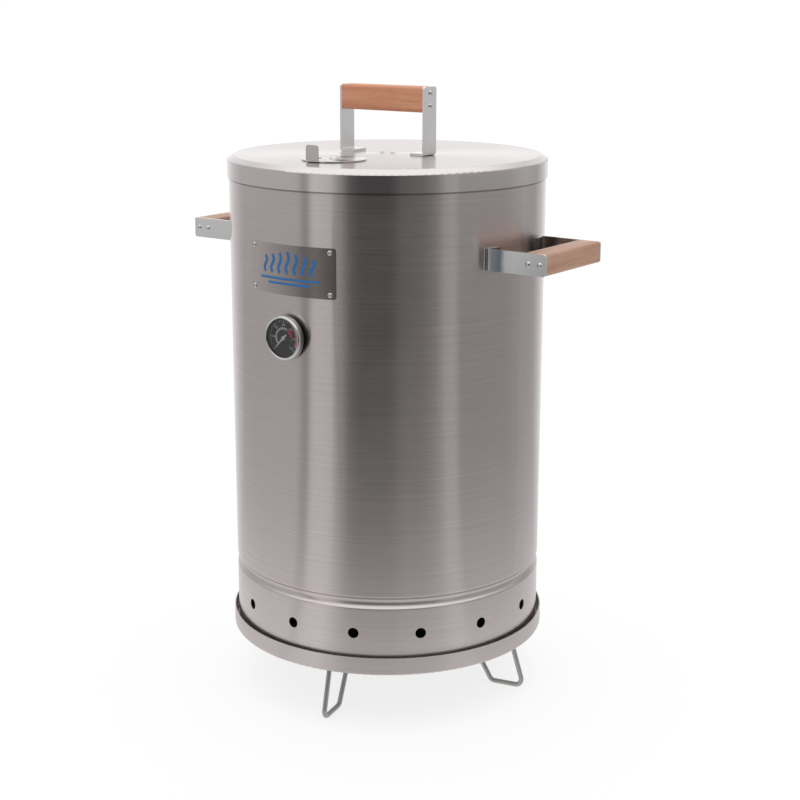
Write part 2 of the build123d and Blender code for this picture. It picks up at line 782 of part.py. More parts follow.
def basket_wall():
    """Round sheet wall that stands on the pan, with air holes and the bail's pivots."""
    base = (Align.CENTER, Align.CENTER, Align.MIN)
    wall = Cylinder(basket_radius, basket_height, align=base) - Cylinder(
        basket_radius - basket_sheet, basket_height, align=base
    )
    for row, height in enumerate(basket_hole_rows):
        for i in range(basket_hole_count):
            angle = (i + row / 2) * 360 / basket_hole_count
            wall -= turned(angle) * Pos(0, -basket_radius, height) * Rot(90, 0, 0) * Cylinder(
                basket_hole_radius, 8 * basket_sheet
            )
    for i in range(basket_hole_count):
        slot = Box(2 * basket_hole_radius, 8 * basket_sheet, 2 * basket_hole_radius)
        wall -= turned((i + 0.5) * 360 / basket_hole_count) * Pos(
            0, -basket_radius, basket_slot_height
        ) * slot
    wall -= Pos(0, 0, basket_height - bail_pivot_drop) * Rot(0, 90, 0) * Cylinder(
        bail_wire / 2 + running_gap, 3 * basket_radius
    )
    return Pos(0, 0, basket_bottom) * wall


def basket_grate():
    """Fire bars across the basket with two stiffeners under them, as one weldment."""
    inside = basket_radius - basket_sheet
    count = int((inside - basket_bar_wire) / basket_bar_pitch)
    bars = []
    for i in range(-count, count + 1):
        bars.append(
            Pos(0, i * basket_bar_pitch, basket_grate_height)
            * Rot(0, 90, 0) * Cylinder(basket_bar_wire / 2, 2 * inside)
        )
    for x in (-inside / 4, inside / 4):
        bars.append(
            Pos(x, 0, basket_grate_height - basket_bar_wire + weld_bite)
            * Rot(90, 0, 0) * Cylinder(basket_bar_wire / 2, 2 * inside)
        )
    grid = bars[0].fuse(*bars[1:])
    grid &= Pos(0, 0, basket_grate_height) * Cylinder(inside, 4 * basket_bar_wire)
    return Pos(0, 0, basket_bottom) * grid


def basket_bail():
    """Wire bail hinged in the basket's wall, folded down over its front."""
    out = basket_radius + bail_clear
    inward = basket_radius - 2 * bail_wire
    side = out * bail_side
    points = [
        (inward, 0), (out, 0), (out, -side), (side, -out),
        (-side, -out), (-out, -side), (-out, 0), (-inward, 0),
    ]
    radii = [bail_eye_bend] + [bail_corner] * 4 + [bail_eye_bend]
    path = FilletPolyline(*points, radius=radii)
    bail = swept(path, Circle(bail_wire / 2))
    pivot = basket_bottom + basket_height - bail_pivot_drop
    return Pos(0, 0, pivot) * Rot(bail_droop, 0, 0) * bail


# ---------------------------------------------------------------- all pieces

os.makedirs("parts", exist_ok=True)

save("base_pan", base_pan())
for i, name in enumerate(("front_leg", "right_leg", "rear_leg", "left_leg")):
    save(name, wire_leg(leg_turn + i * 360 / leg_count))

save("barrel", barrel())
save("nameplate", nameplate())
save("nameplate_rivets", *nameplate_rivets())

save("thermometer_housing", thermometer_housing())
save("thermometer_bezel", thermometer_bezel())
save("thermometer_dial", thermometer_dial())
save("thermometer_glass", thermometer_glass())
save("thermometer_needle", thermometer_needle())
save("thermometer_stem", thermometer_stem())
save("thermometer_nut", thermometer_nut())

for side, name in ((1, "right_handle"), (-1, "left_handle")):
    place = side_handle_place(side)
    save(f"{name}_front_strap", place * side_strap(-side))
    save(f"{name}_rear_strap", place * side_strap(side))
    save(f"{name}_grip", side_grip_place(side) * grip())
    save(f"{name}_screws", *[side_grip_place(side) * screw for screw in grip_screws()])

save("lid", lid())
save("lid_handle_left_strap", lid_strap(-1))
save("lid_handle_right_strap", lid_strap(1))
save("lid_handle_grip", lid_handle_place() * grip())
save("lid_handle_screws", *[lid_handle_place() * screw for screw in grip_screws()])
save("damper_disc", damper_disc())
save("damper_rivet", damper_rivet())
save("lid_hook", lid_hook())
save("lid_hook_rivets", *lid_hook_rivets())

save("grate_brackets", *grate_brackets())
save("cooking_grate_rim", grate_rim())
save("cooking_grate_bars", grate_bars())
save("cooking_grate_handles", *grate_handles())
save("rod_brackets", *rod_brackets())
save("front_hanging_rod", hanging_rod(-1))
save("rear_hanging_rod", hanging_rod(1))
for i, x in enumerate(hook_places):
    save(f"front_meat_hook_{i + 1}", meat_hook(x, -1))
    save(f"rear_meat_hook_{i + 1}", meat_hook(-x, 1))

save("basket_wall", basket_wall())
save("basket_grate", basket_grate())
save("basket_bail", basket_bail())
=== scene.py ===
from math import cos, pi, radians, sin

import bmesh
import bpy
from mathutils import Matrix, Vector


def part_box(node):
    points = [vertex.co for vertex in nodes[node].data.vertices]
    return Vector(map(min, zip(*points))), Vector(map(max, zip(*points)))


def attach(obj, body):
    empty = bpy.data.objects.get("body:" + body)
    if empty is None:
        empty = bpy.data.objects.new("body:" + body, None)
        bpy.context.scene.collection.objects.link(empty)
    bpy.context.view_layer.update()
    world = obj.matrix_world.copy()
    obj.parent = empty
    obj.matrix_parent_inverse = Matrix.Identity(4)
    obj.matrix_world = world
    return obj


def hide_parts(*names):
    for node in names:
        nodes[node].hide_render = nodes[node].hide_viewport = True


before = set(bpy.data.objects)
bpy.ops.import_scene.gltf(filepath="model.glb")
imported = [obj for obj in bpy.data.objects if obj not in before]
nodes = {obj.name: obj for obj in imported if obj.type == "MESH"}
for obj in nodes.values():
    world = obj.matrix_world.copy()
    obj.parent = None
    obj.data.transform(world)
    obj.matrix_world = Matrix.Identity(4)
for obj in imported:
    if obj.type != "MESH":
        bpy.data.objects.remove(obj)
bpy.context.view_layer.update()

# ------------------------------------------------------------------ sizes and places

MM = 0.001
MERGE_GAP = 0.002 * MM      # points nearer than this are the same point
PRESS = 0.05 * MM           # how far a printed mark stands off the dial
FRONT = (0, -1, 0)

barrel_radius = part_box("barrel")[1].x
lid_rim_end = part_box("lid")[0].z
pan_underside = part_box("base_pan")[0].z


# ------------------------------------------------------------------ shader maths

class Sock:
    """A node's output that can be added, subtracted, multiplied and divided like a number."""

    tree = None                 # the node tree that new nodes are added to

    def __init__(self, socket):
        self.socket = socket

    @classmethod
    def node(cls, kind, settings=None, inputs=None, out=0):
        """Add a node of that type with its settings, then feed its sockets."""
        made = cls.tree.nodes.new(kind)
        for key, value in (settings or {}).items():
            setattr(made, key, value)
        for key, value in (inputs or {}).items():
            cls.feed(made.inputs[key], value)
        return cls(made.outputs[out])

    @classmethod
    def feed(cls, socket, value):
        """Link an output to a socket, or set the socket's own value."""
        if isinstance(value, Sock):
            cls.tree.links.new(value.socket, socket)
        else:
            socket.default_value = value

    @classmethod
    def maths(cls, operation, *values):
        """Add a Math node with that operation."""
        return cls.node("ShaderNodeMath", {"operation": operation}, dict(enumerate(values)))

    def __add__(self, other): return Sock.maths("ADD", self, other)
    def __radd__(self, other): return Sock.maths("ADD", other, self)
    def __sub__(self, other): return Sock.maths("SUBTRACT", self, other)
    def __rsub__(self, other): return Sock.maths("SUBTRACT", other, self)
    def __mul__(self, other): return Sock.maths("MULTIPLY", self, other)
    def __rmul__(self, other): return Sock.maths("MULTIPLY", other, self)
    def __truediv__(self, other): return Sock.maths("DIVIDE", self, other)


# The Mix node's two colours and its colour result, by their places among its sockets.
MIX_A, MIX_B, MIX_RESULT = 6, 7, 2


def blend(mask, first, second, mode="MIX"):
    """Mix two colours by a mask."""
    return Sock.node(
        "ShaderNodeMix", {"data_type": "RGBA", "blend_type": mode},
        {"Factor": mask, MIX_A: first, MIX_B: second}, out=MIX_RESULT,
    )


def ramp(value, *stops):
    """Grey level read from (place, level) stops, straight between them."""
    made = Sock.tree.nodes.new("ShaderNodeValToRGB")
    bar = made.color_ramp
    while len(bar.elements) < len(stops):
        bar.elements.new(0.5)
    for element, (place, level) in zip(bar.elements, stops):
        element.position = place
        element.color = (level, level, level, 1)
    Sock.feed(made.inputs[0], value)
    return Sock(made.outputs[0])


def colour(red, green, blue):
    return (red, green, blue, 1.0)


def scaled(tint, factor):
    """A tint made lighter or darker, as a colour."""
    return colour(*[min(1.0, part * factor) for part in tint])


def start_material(name):
    """A new node material; returns it with its main shader."""
    material = bpy.data.materials.new(name)
    material.use_nodes = True
    Sock.tree = material.node_tree
    return material, material.node_tree.nodes["Principled BSDF"]


def object_place():
    return Sock.node("ShaderNodeTexCoord", out="Object")


def split(vector):
    parts = Sock.tree.nodes.new("ShaderNodeSeparateXYZ")
    Sock.feed(parts.inputs[0], vector)
    return [Sock(parts.outputs[i]) for i in range(3)]


def join(x, y, z):
    return Sock.node("ShaderNodeCombineXYZ", {}, {0: x, 1: y, 2: z})


def noise(vector, detail, scale=1.0):
    return Sock.node(
        "ShaderNodeTexNoise", {}, {"Vector": vector, "Scale": scale, "Detail": detail}
    )


def drawn_out(lay, along_scale, across_scale, detail):
    """Noise with its own scale along the grain and across it."""
    along, across, depth = lay
    place = join(along * along_scale, across * across_scale, depth * across_scale)
    return noise(place, detail=detail)


def bump(height, distance, strength):
    return Sock.node(
        "ShaderNodeBump", {}, {"Height": height, "Distance": distance, "Strength": strength}
    )


# ------------------------------------------------------------------ finishes

def grain_round():
    """Brushing that runs round the barrel's axis, as (along, across, depth) in metres."""
    x, y, z = split(object_place())
    angle = Sock.maths("ARCTAN2", x, -1.0 * y)
    return angle * barrel_radius, z, x * 0.0


def grain_along(axis):
    """Brushing that runs along one of the part's own axes."""
    parts = split(object_place())
    others = [parts[i] for i in range(3) if i != axis]
    return parts[axis], others[0], others[1]


def brushed(name, tint, rough, grain, contrast=1.0, stretch=0.9):
    """Satin stainless: long fine scratches, broader streaks and faint handling marks."""
    scratch_depth = 0.02 * MM
    quarter_turn = 0.25         # the gloss stretches at right angles to the scratches
    material, shader = start_material(name)
    lay = grain()
    fine = drawn_out(lay, 14.0, 2600.0, detail=3.0)
    streak = drawn_out(lay, 3.0, 420.0, detail=2.0)
    cloud = noise(object_place(), scale=9.0, detail=3.0)
    shade = (fine - 0.5) * (0.22 * contrast) + (streak - 0.5) * (0.26 * contrast)
    shade = shade + (cloud - 0.5) * 0.10
    level = ramp(shade + 0.5, (0.30, 0.0), (0.70, 1.0))
    Sock.feed(shader.inputs["Base Color"], blend(level, scaled(tint, 0.86), scaled(tint, 1.12)))
    Sock.feed(
        shader.inputs["Roughness"],
        rough + (fine - 0.5) * (0.10 * contrast) + (cloud - 0.5) * 0.08,
    )
    Sock.feed(shader.inputs["Normal"], bump(fine * 0.6 + streak * 0.4, scratch_depth, 0.35))
    shader.inputs["Metallic"].default_value = 1.0
    shader.inputs["Anisotropic"].default_value = stretch
    shader.inputs["Anisotropic Rotation"].default_value = quarter_turn
    return material


def shade_over(material, mask, shade):
    """Darken a finish by a shade, as far as mask() says."""
    Sock.tree = material.node_tree
    base = material.node_tree.nodes["Principled BSDF"].inputs["Base Color"]
    plain = Sock(base.links[0].from_socket)
    darker = blend(1.0, plain, shade, mode="MULTIPLY")
    Sock.feed(base, blend(mask(), plain, darker))
    return material


def reach_over(node, drift_scale, drift_share):
    """How far across a CAD piece's box in X, from 0 to 1, with a slightly uneven front."""
    low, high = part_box(node)
    across = (split(object_place())[0] - low.x) / (high.x - low.x)
    drift = noise(object_place(), scale=drift_scale, detail=2.0)
    return across + (drift - 0.5) * drift_share


def painted_plate_shade():
    """Mask for painted shade that rises from the nameplate's left end to its right end, where
    the plate mirrors the dark gap.
    """
    return ramp(reach_over("nameplate", 40.0, 0.12), (0.08, 0.0), (0.92, 1.0))


def painted_strap_reflection():
    """Mask for a painted reflection: the dark blue-grey that the right handle's polished straps
    mirror by the barrel.
    """
    return ramp(
        reach_over("right_handle_front_strap", 70.0, 0.06),
        (0.0, 0.0), (0.10, 0.85), (0.24, 1.0), (0.33, 0.15), (0.48, 0.0),
    )


def painted_rim_shade():
    """Mask for painted shade on the barrel just below the lid's rim, where the rim's shadow
    falls.
    """
    below, span = 5 * MM, 20 * MM       # the mask starts this far below the rim, and this long
    height = split(object_place())[2]
    drift = noise(object_place(), scale=30.0, detail=3.0)
    return ramp(
        (height - (lid_rim_end - below)) / span + (drift - 0.5) * 0.03,
        (0.11, 0.0), (0.17, 0.62), (0.28, 0.62), (0.5, 0.15), (1.0, 0.08),
    )


def bright_metal(name, tint, rough):
    """Polished or plated metal with faint smears."""
    material, shader = start_material(name)
    smear = noise(object_place(), scale=60.0, detail=4.0)
    spots = noise(object_place(), scale=900.0, detail=2.0)
    level = ramp(smear, (0.3, 0.0), (0.75, 1.0))
    Sock.feed(shader.inputs["Base Color"], blend(level, scaled(tint, 0.9), colour(*tint)))
    Sock.feed(shader.inputs["Roughness"], rough + (smear - 0.5) * 0.10 + (spots - 0.5) * 0.05)
    shader.inputs["Metallic"].default_value = 1.0
    return material


def oiled_wood(name, axis, pale, ruddy, deep):
    """Hardwood with long pores and bands that run along the grip."""
    pore_depth = 0.18 * MM
    material, shader = start_material(name)
    along, across, depth = lay = grain_along(axis)
    wander = drawn_out(lay, 5.0, 14.0, detail=3.0)
    band_scale, sway = 150.0, 2.2
    wavy = (along, across, depth + wander * (sway / band_scale))
    bands = drawn_out(wavy, 4.0, band_scale, detail=3.0)
    pores = drawn_out(lay, 60.0, 1800.0, detail=2.0)
    patch = drawn_out(lay, 20.0, 40.0, detail=2.0)
    wood = blend(ramp(bands, (0.32, 0.0), (0.68, 1.0)), ruddy, pale)
    wood = blend(ramp(patch, (0.45, 0.0), (0.8, 0.45)), wood, ruddy)
    wood = blend(ramp(pores, (0.60, 0.0), (0.78, 0.75)), wood, deep)
    Sock.feed(shader.inputs["Base Color"], wood)
    Sock.feed(shader.inputs["Roughness"], 0.52 + (pores - 0.5) * 0.25 + (patch - 0.5) * 0.12)
    height = bands * 0.35 - ramp(pores, (0.6, 0.0), (0.8, 1.0)) * 0.9
    Sock.feed(shader.inputs["Normal"], bump(height, pore_depth, 0.6))
    shader.inputs["Coat Weight"].default_value = 0.12
    shader.inputs["Coat Roughness"].default_value = 0.35
    return material


def enamel(name, tint, rough):
    """Sprayed enamel or print with a slight orange-peel surface."""
    peel_depth = 0.03 * MM
    material, shader = start_material(name)
    peel = noise(object_place(), scale=1400.0, detail=2.0)
    cloud = noise(object_place(), scale=80.0, detail=2.0)
    Sock.feed(shader.inputs["Base Color"], blend(cloud, scaled(tint, 0.85), scaled(tint, 1.15)))
    Sock.feed(shader.inputs["Roughness"], rough + (cloud - 0.5) * 0.12)
    Sock.feed(shader.inputs["Normal"], bump(peel, peel_depth, 0.4))
    return material


def clear_glass(name):
    """Window glass with a little dust."""
    material, shader = start_material(name)
    dust = noise(object_place(), scale=700.0, detail=3.0)
    shader.inputs["Base Color"].default_value = colour(0.98, 0.99, 1.0)
    Sock.feed(shader.inputs["Roughness"], ramp(dust, (0.66, 0.0), (0.9, 0.05)))
    shader.inputs["Transmission Weight"].default_value = 1.0
    shader.inputs["IOR"].default_value = 1.45
    return material


STEEL = (0.66, 0.60, 0.59)
# The barrel's colour is darkened in a band just below the lid's rim: painted shade.
barrel_finish = shade_over(
    brushed("barrel_brushed", STEEL, 0.215, grain_round), painted_rim_shade, colour(0.20, 0.16, 0.15)
)
lid_finish = brushed("lid_brushed", (0.72, 0.675, 0.665), 0.20, grain_round, 0.6, stretch=0.85)
pan_finish = brushed("pan_brushed", STEEL, 0.32, grain_round)
# The right handle's straps carry a painted dark blue-grey reflection near the barrel.
side_strap_finish = shade_over(
    brushed(
        "strap_brushed_x", (0.97, 0.93, 0.93), 0.10, lambda: grain_along(0), 0.5, stretch=0.0
    ),
    painted_strap_reflection, colour(0.24, 0.29, 0.33),
)
lid_strap_finish = brushed(
    "strap_brushed_z", (1.0, 0.95, 0.96), 0.24, lambda: grain_along(2), 0.5, stretch=0.0
)
# The nameplate's colour darkens towards its right end: painted shade standing for its darker
# reflection there.
plate_finish = shade_over(
    brushed("plate_brushed", (0.62, 0.56, 0.54), 0.27, grain_round, 0.8, stretch=0.8),
    painted_plate_shade, colour(0.26, 0.25, 0.26),
)
wire_finish = bright_metal("leg_wire_drawn", (0.44, 0.44, 0.43), 0.38)
weld_finish = bright_metal("weld_bead", (0.34, 0.31, 0.30), 0.42)
plated_finish = bright_metal("plated_wire", (0.66, 0.66, 0.66), 0.22)
rivet_finish = bright_metal("rivet_bright", (0.74, 0.72, 0.71), 0.16)
chrome_finish = bright_metal("bezel_chromed", (0.78, 0.77, 0.77), 0.09)
fitting_finish = bright_metal("fitting_turned", (0.56, 0.55, 0.54), 0.34)
basket_finish = bright_metal("basket_dulled", (0.36, 0.34, 0.33), 0.50)
black_finish = enamel("housing_enamel", (0.028, 0.027, 0.028), 0.35)
dial_finish = enamel("dial_dark", (0.024, 0.018, 0.017), 0.6)
needle_finish = enamel("needle_white", (0.88, 0.86, 0.82), 0.45)
emblem_finish = enamel("emblem_blue", (0.014, 0.13, 0.36), 0.32)
white_print = enamel("print_white", (0.84, 0.82, 0.80), 0.5)
grey_print = enamel("print_grey", (0.60, 0.58, 0.57), 0.5)
red_print = enamel("print_red", (0.55, 0.03, 0.075), 0.45)
rose_print = enamel("print_rose", (0.78, 0.26, 0.34), 0.45)
green_print = enamel("print_green", (0.03, 0.11, 0.085), 0.45)
glass_finish = clear_glass("dial_glass_clear")
lid_grip_wood = oiled_wood(
    "grip_wood_ruddy", 0,
    colour(0.74, 0.36, 0.20), colour(0.60, 0.23, 0.125), colour(0.30, 0.095, 0.05),
)
side_grip_wood = oiled_wood(
    "grip_wood_tan", 1,
    colour(0.53, 0.33, 0.22), colour(0.40, 0.205, 0.14), colour(0.22, 0.10, 0.065),
)

# Each finish with the CAD pieces that wear it.
WORN_BY = (
    (barrel_finish, "barrel"),
    (lid_finish, "lid damper_disc"),
    (pan_finish, "base_pan"),
    (plate_finish, "nameplate"),
    (rivet_finish, "nameplate_rivets damper_rivet lid_hook_rivets lid_handle_screws"),
    (rivet_finish, "right_handle_screws left_handle_screws"),
    (lid_strap_finish, "lid_hook lid_handle_left_strap lid_handle_right_strap"),
    (side_strap_finish, "right_handle_front_strap right_handle_rear_strap"),
    (side_strap_finish, "left_handle_front_strap left_handle_rear_strap"),
    (lid_grip_wood, "lid_handle_grip"),
    (side_grip_wood, "right_handle_grip left_handle_grip"),
    (black_finish, "thermometer_housing"),
    (chrome_finish, "thermometer_bezel"),
    (dial_finish, "thermometer_dial"),
    (glass_finish, "thermometer_glass"),
    (needle_finish, "thermometer_needle"),
    (fitting_finish, "thermometer_stem thermometer_nut grate_brackets rod_brackets"),
    (fitting_finish, "front_hanging_rod rear_hanging_rod"),
    (plated_finish, "cooking_grate_rim cooking_grate_bars cooking_grate_handles"),
    (plated_finish, "front_meat_hook_1 front_meat_hook_2 rear_meat_hook_1 rear_meat_hook_2"),
    (basket_finish, "basket_wall basket_grate basket_bail"),
    (wire_finish, "front_leg right_leg rear_leg left_leg"),
)
finish_of = {name: finish for finish, names in WORN_BY for name in names.split()}
for name, node in nodes.items():
    node.data.materials.clear()
    node.data.materials.append(finish_of[name])


# ------------------------------------------------------------------ modelling tools

def select_only(piece):
    """Leave edit mode, and make one piece the only selected one."""
    if bpy.context.object and bpy.context.object.mode != "OBJECT":
        bpy.ops.object.mode_set(mode="OBJECT")
    bpy.ops.object.select_all(action="DESELECT")
    piece.select_set(True)
    bpy.context.view_layer.objects.active = piece


def edit(piece):
    """Open a piece for editing edges with nothing selected; returns its bmesh."""
    select_only(piece)
    bpy.ops.object.mode_set(mode="EDIT")
    bpy.ops.mesh.select_mode(type="EDGE")
    bpy.ops.mesh.select_all(action="DESELECT")
    return bmesh.from_edit_mesh(piece.data)


def settle(piece):
    """Put a piece's place, turn and scale into its mesh."""
    select_only(piece)
    bpy.ops.object.transform_apply(location=True, rotation=True, scale=True)
    return piece


def block(centre, sides, turn=(0, 0, 0)):
    """A box to start a piece from."""
    bpy.ops.object.select_all(action="DESELECT")
    bpy.ops.mesh.primitive_cube_add(size=1, location=centre, rotation=turn, scale=sides)
    return settle(bpy.context.object)


def single_point(place):
    """A mesh of one point, open for editing, to extrude an outline from."""
    bpy.ops.object.select_all(action="DESELECT")
    bpy.ops.mesh.primitive_plane_add(size=1 * MM, location=place)
    piece = settle(bpy.context.object)
    bpy.ops.object.mode_set(mode="EDIT")
    bpy.ops.mesh.select_mode(type="VERT")
    bpy.ops.mesh.merge(type="CENTER")
    return piece


def apply_modifier(piece, kind, **settings):
    """Give a piece one modifier with its settings, and apply it."""
    select_only(piece)
    modifier = piece.modifiers.new(kind.lower(), kind)
    for key, value in settings.items():
        setattr(modifier, key, value)
    bpy.ops.object.modifier_apply(modifier=modifier.name)


def done(piece, name, body, slot, finish, *replaced, smooth=32.0):
    """Name a finished piece, hang it on its body, give it its finish, and hide the CAD pieces it
    replaces.
    """
    settle(piece)
    bpy.ops.object.shade_smooth_by_angle(angle=radians(smooth))
    piece.name = name
    piece.data.name = name
    piece.data.materials.clear()
    piece.data.materials.append(finish)
    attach(piece, body)
    if replaced:
        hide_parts(*replaced)
    return piece


def join_all(parts):
    """One object from several."""
    select_only(parts[0])
    for part in parts[1:]:
        part.select_set(True)
    if len(parts) > 1:
        bpy.ops.object.join()
    return bpy.context.object


def bevel_edges(piece, wanted, width, segments):
    """Round the edges that wanted(edge) picks."""
    mesh = edit(piece)
    for e in mesh.edges:
        e.select_set(wanted(e))
    bmesh.update_edit_mesh(piece.data)
    bpy.ops.mesh.bevel(offset=width, segments=segments, affect="EDGES")
    bpy.ops.object.mode_set(mode="OBJECT")


def flat_faced(piece):
    """Let the large faces keep the shading of flat sheet right up to their eased edges."""
    apply_modifier(piece, "WEIGHTED_NORMAL", keep_sharp=True, weight=100)
    return piece


def lathe(outline, centre, axis, across, steps):
    """Turn an outline of (radius, height) points about an axis through the centre."""
    centre, axis, across = Vector(centre), Vector(axis), Vector(across)
    places = [centre + across * radius + axis * height for radius, height in outline]
    piece = single_point(places[0])
    for here, there in zip(places, places[1:]):
        bpy.ops.mesh.extrude_region_move(TRANSFORM_OT_translate={"value": there - here})
    bpy.ops.mesh.select_all(action="SELECT")
    bpy.ops.mesh.spin(steps=steps, angle=2 * pi, center=centre, axis=axis)
    bpy.ops.mesh.select_all(action="SELECT")
    bpy.ops.mesh.remove_doubles(threshold=MERGE_GAP)
    bpy.ops.mesh.normals_make_consistent(inside=False)
    bpy.ops.object.mode_set(mode="OBJECT")
    return piece


def mm(*points):
    """Outline points given in millimetres."""
    return [(a * MM, b * MM) for a, b in points]


def eased(node, width, body, slot, finish):
    """A CAD piece with its sharp edges taken off."""
    piece = bpy.data.objects.new(node, nodes[node].data.copy())
    bpy.context.scene.collection.objects.link(piece)
    select_only(piece)
    bpy.ops.mesh.customdata_custom_splitnormals_clear()
    edit(piece)
    bpy.ops.mesh.select_all(action="SELECT")
    bpy.ops.mesh.remove_doubles(threshold=MERGE_GAP)
    bpy.ops.mesh.normals_make_consistent(inside=False)
    bpy.ops.mesh.dissolve_limited(angle_limit=radians(0.3))
    bpy.ops.object.mode_set(mode="OBJECT")
    apply_modifier(
        piece, "BEVEL", width=width, segments=2, limit_method="ANGLE", angle_limit=radians(50)
    )
    return flat_faced(done(piece, node + "_eased", body, slot, finish, node))


# ------------------------------------------------------------------ wooden grips

def grip(node, along, body, finish):
    """Wooden bar between its straps: long edges well rounded, ends just broken."""
    low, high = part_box(node)
    piece = block((low + high) / 2, high - low)

    def runs_along(edge):
        return abs((edge.verts[0].co - edge.verts[1].co).normalized()[along]) > 0.99

    def round_an_end(edge):
        return any(
            all(abs(v.co[along] - end[along]) < 0.01 * MM for v in edge.verts)
            for end in (low, high)
        )

    bevel_edges(piece, runs_along, 4.0 * MM, 6)
    bevel_edges(piece, round_an_end, 0.7 * MM, 2)
    return flat_faced(done(piece, node + "_wood", body, "grip_wood", finish, node))


grip("lid_handle_grip", 0, "lid", lid_grip_wood)
grip("right_handle_grip", 1, "barrel", side_grip_wood)
grip("left_handle_grip", 1, "barrel", side_grip_wood)

# ------------------------------------------------------------------ straps and damper

STRAP_EASE = 0.35 * MM
SHEET_EASE = 0.25 * MM

for side in ("left", "right"):
    eased(f"lid_handle_{side}_strap", STRAP_EASE, "lid", "strap_steel", lid_strap_finish)
    for end in ("front", "rear"):
        strap = f"{side}_handle_{end}_strap"
        eased(strap, STRAP_EASE, "barrel", "strap_steel", side_strap_finish)
eased("damper_disc", SHEET_EASE, "damper", "lid_steel", lid_finish)
eased("lid_hook", SHEET_EASE, "lid", "strap_steel", lid_strap_finish)

# ------------------------------------------------------------------ nameplate

plate_low, plate_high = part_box("nameplate")
plate_face = -plate_low.y          # radius of the plate's outer face
plate_mid = (plate_low.z + plate_high.z) / 2


def round_the_barrel(piece, radius):
    """Roll a flat drawing, made in X and Z at Y = 0, round to the barrel's front."""
    for v in piece.data.vertices:
        angle = v.co.x / radius
        reach = radius - v.co.y
        v.co.x = reach * sin(angle)
        v.co.y = -reach * cos(angle)


def stroke(points, width, relief):
    """A flattened wire along (x, z) points, lying on Y = 0 and standing out by relief."""
    curve = bpy.data.curves.new("stroke", "CURVE")
    curve.dimensions = "3D"
    curve.bevel_depth = width / 2
    curve.bevel_resolution = 3
    curve.resolution_u = 8
    curve.use_fill_caps = True
    line = curve.splines.new("NURBS")
    line.points.add(len(points) - 1)
    for point, (x, z) in zip(line.points, points):
        point.co = (x, 0, z, 1)
    line.order_u = min(4, len(points))
    line.use_endpoint_u = True
    piece = bpy.data.objects.new("stroke", curve)
    bpy.context.scene.collection.objects.link(piece)
    select_only(piece)
    bpy.ops.object.convert(target="MESH")
    for v in piece.data.vertices:
        v.co.y *= 2 * relief / width
    return piece


def emblem():
    """Generic pictogram of heat rising over a grill: seven wavy strokes above two bars."""
    relief = 0.35 * MM
    spacing, sway, foot = 11.5 * MM, 2.6 * MM, -4.0 * MM
    wave = ((0, 0), (-1, 0.14), (-1, 0.34), (1, 0.62), (1, 0.84), (0, 1))
    strokes = []
    for i in range(-3, 4):
        height = (25 - 2.2 * abs(i)) * MM
        points = [(i * spacing + sway * side, foot + height * share) for side, share in wave]
        strokes.append(stroke(points, 4.2 * MM, relief))
    for level, half in mm((-10.5, 43), (-16.0, 30)):
        bar = [(-half, level), (0, level), (half, level)]
        strokes.append(stroke(bar, 3.0 * MM, relief))
    piece = join_all(strokes)
    for v in piece.data.vertices:
        v.co.z += plate_mid
    round_the_barrel(piece, plate_face)
    return done(piece, "plate_emblem", "barrel", "plate_steel", emblem_finish)


emblem()


def pop_rivets():
    """Blind rivets: a domed flange with the drawn-off mandrel's hollow in the middle."""
    low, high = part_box("nameplate_rivets")
    head = 3.2 * MM             # radius of a rivet's flange
    outline = mm(
        (0, -0.1), (3.1, -0.1), (3.2, 0.2), (3.05, 0.62), (2.5, 1.08), (1.8, 1.4), (1.25, 1.5),
        (1.02, 1.38), (0.95, 1.05), (0.92, 0.35), (0, 0.3),
    )
    turn = (high.x - head) / plate_face
    rivets = []
    for side in (-1, 1):
        for z in (low.z + head, high.z - head):
            out = Vector((sin(side * turn), -cos(turn), 0))
            along = Vector((cos(turn), sin(side * turn), 0))
            rivets.append(lathe(outline, out * plate_face + Vector((0, 0, z)), out, along, 28))
    return done(
        join_all(rivets), "nameplate_pop_rivets", "barrel", "rivet_steel", rivet_finish,
        "nameplate_rivets", smooth=50,
    )


pop_rivets()

# ------------------------------------------------------------------ thermometer

bezel_low, bezel_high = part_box("thermometer_bezel")
glass_low, glass_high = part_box("thermometer_glass")
dial_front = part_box("thermometer_dial")[0].y
dial_axis = Vector((0, 0, (bezel_low.z + bezel_high.z) / 2))
SCALE_START, SCALE_SWEEP = 225, 270         # degrees, from the lower left clockwise


def bezel():
    """Rolled chrome ring with a rounded front and an inner step down to the glass."""
    r = bezel_high.x / MM
    depth = (bezel_high.y - bezel_low.y) / MM
    inside = r - 3.0
    outline = mm(
        (r - 1.1, 0.05), (r - 0.25, 0.05), (r, 0.35), (r, depth - 2.6), (r - 0.25, depth - 1.5),
        (r - 0.85, depth - 0.55), (r - 1.6, depth - 0.05), (r - 2.1, depth - 0.02),
        (r - 2.6, depth - 0.25), (inside, depth - 0.7), (inside, depth - 1.05),
        (r - 1.15, depth - 1.05), (r - 1.1, 0.05),
    )
    place = dial_axis + Vector((0, bezel_high.y, 0))
    return done(
        lathe(outline, place, FRONT, (1, 0, 0), 96), "thermometer_bezel_rolled", "barrel",
        "bezel_chrome", chrome_finish, "thermometer_bezel", smooth=40,
    )


def lens():
    """Clear window, slightly domed."""
    edge = glass_high.x / MM
    thick = (glass_high.y - glass_low.y) / MM
    crown = 0.55
    outline = mm(
        (0, 0), (edge, 0), (edge, thick - 0.1), (edge - 2.3, thick - 0.05),
        (edge * 0.72, thick + crown * 0.42), (edge * 0.48, thick + crown * 0.75),
        (edge * 0.24, thick + crown * 0.94), (0, thick + crown),
    )
    place = dial_axis + Vector((0, glass_high.y, 0))
    return done(
        lathe(outline, place, FRONT, (1, 0, 0), 64), "thermometer_lens", "barrel",
        "dial_glass", glass_finish, "thermometer_glass",
    )


